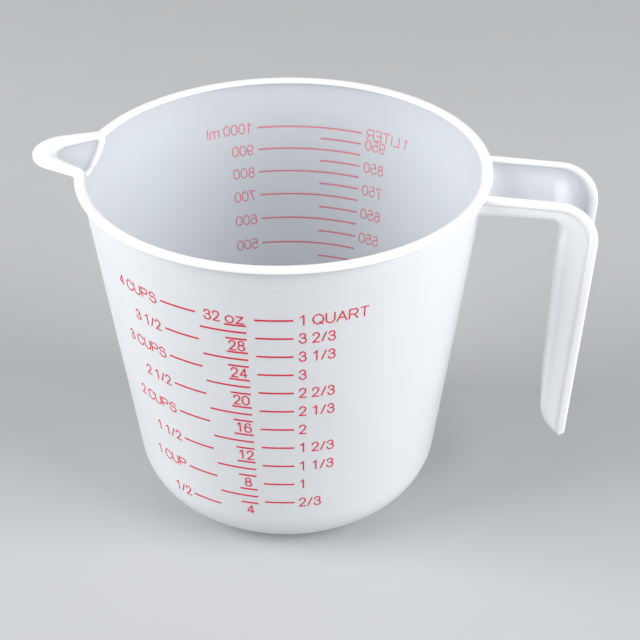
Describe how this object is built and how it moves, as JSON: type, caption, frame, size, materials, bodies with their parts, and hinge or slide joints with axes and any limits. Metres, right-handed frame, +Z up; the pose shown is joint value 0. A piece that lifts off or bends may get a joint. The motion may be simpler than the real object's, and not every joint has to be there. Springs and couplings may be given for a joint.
{
  "type": "measuring jug",
  "caption": "Tapered translucent one-litre measuring jug with a pouring spout, an open hooked channel handle, and printed cup, ounce and millilitre scales.",
  "frame": {"origin": "on the vessel's axis, at the plane that the foot of the base stands on", "axes": "+Z up the vessel's axis, +X towards the handle, -X towards the spout, -Y towards the cup and ounce scale, +Y towards the metric scale"},
  "size_m": [0.1867, 0.136, 0.124],
  "materials": {
    "natural_polypropylene": "milky translucent, satin outside, soft gloss on rim and edges",
    "red_ink": "thin screen-printed crimson ink, satin"
  },
  "bodies": {
    "root": {"base_panel": "natural_polypropylene", "base_bowl": "natural_polypropylene", "side_wall": "natural_polypropylene", "rim_flange": "natural_polypropylene", "spout_trough": "natural_polypropylene", "spout_lip": "natural_polypropylene", "handle_arm_web": "natural_polypropylene", "handle_corner_web": "natural_polypropylene", "handle_grip_web": "natural_polypropylene", "handle_toe_web": "natural_polypropylene", "handle_flange_front": "natural_polypropylene", "handle_flange_back": "natural_polypropylene", "handle_bead_front": "natural_polypropylene", "handle_bead_back": "natural_polypropylene", "handle_bead_toe": "natural_polypropylene", "cup_lines": "red_ink", "cup_labels": "red_ink", "ounce_long_lines": "red_ink", "ounce_short_lines": "red_ink", "ounce_numerals": "red_ink", "third_lines": "red_ink", "third_labels": "red_ink", "metric_long_lines": "red_ink", "metric_short_lines": "red_ink", "metric_hundreds": "red_ink", "metric_fifties": "red_ink", "metric_litre": "red_ink"}
  },
  "joints": []
}
